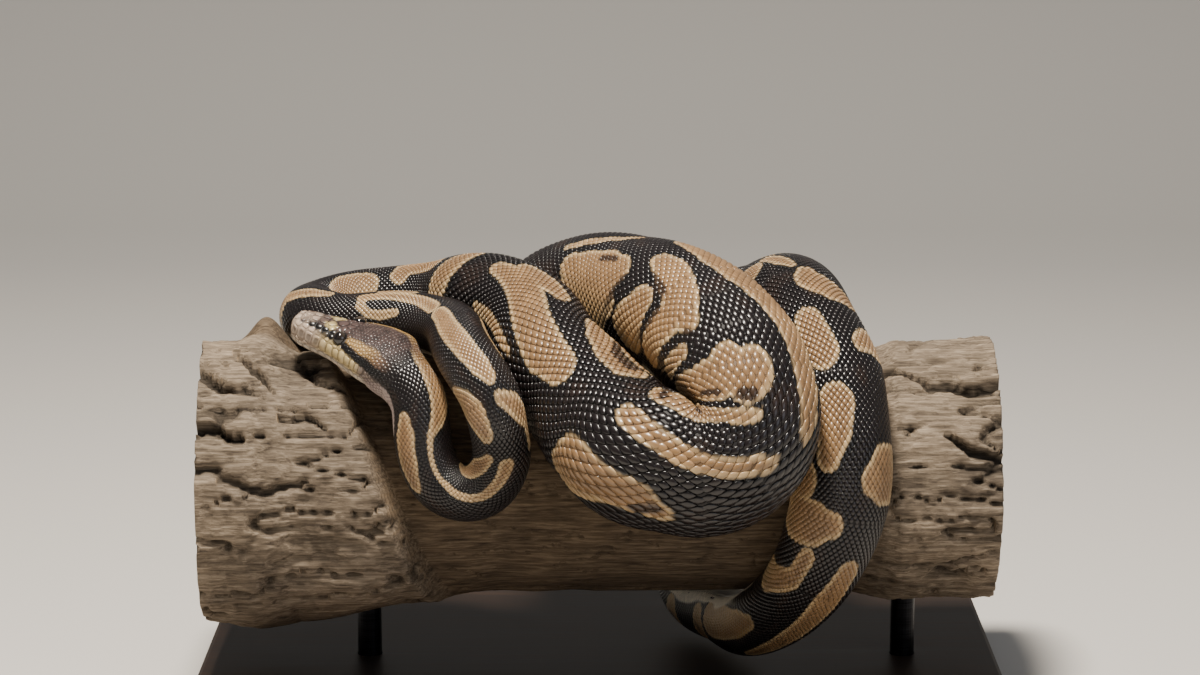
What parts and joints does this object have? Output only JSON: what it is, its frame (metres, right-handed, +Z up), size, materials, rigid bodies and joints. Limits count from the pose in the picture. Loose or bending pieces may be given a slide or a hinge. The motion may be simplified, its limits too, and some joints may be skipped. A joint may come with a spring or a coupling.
{
  "type": "ball python coiled on a log, still model on a stand",
  "caption": "Life-size ball python coiled over a short cut length of weathered log, head resting at one end, held above a flat base by short rods.",
  "frame": {"origin": "middle of the underside of the stand's base, on the floor", "axes": "+X along the log, from the end with the snake's head to the end with its thickest loops; +Y to the back; +Z up"},
  "size_m": [0.33, 0.256, 0.1908],
  "materials": {
    "skin": "semi-gloss scales, near-black brown with golden tan blotches and a cream belly",
    "eye": "wet gloss",
    "log": "weathered grey-brown wood with torn bark",
    "base": "dark stained, satin",
    "rod": "satin black"
  },
  "bodies": {
    "root": {"head": "skin", "eye_left": "eye", "eye_right": "eye", "neck": "skin", "trunk_1": "skin", "trunk_2": "skin", "trunk_3": "skin", "trunk_4": "skin", "trunk_5": "skin", "tail": "skin", "perch_log": "log", "stand_base": "base", "stand_rod_left": "rod", "stand_rod_right": "rod"}
  },
  "joints": []
}
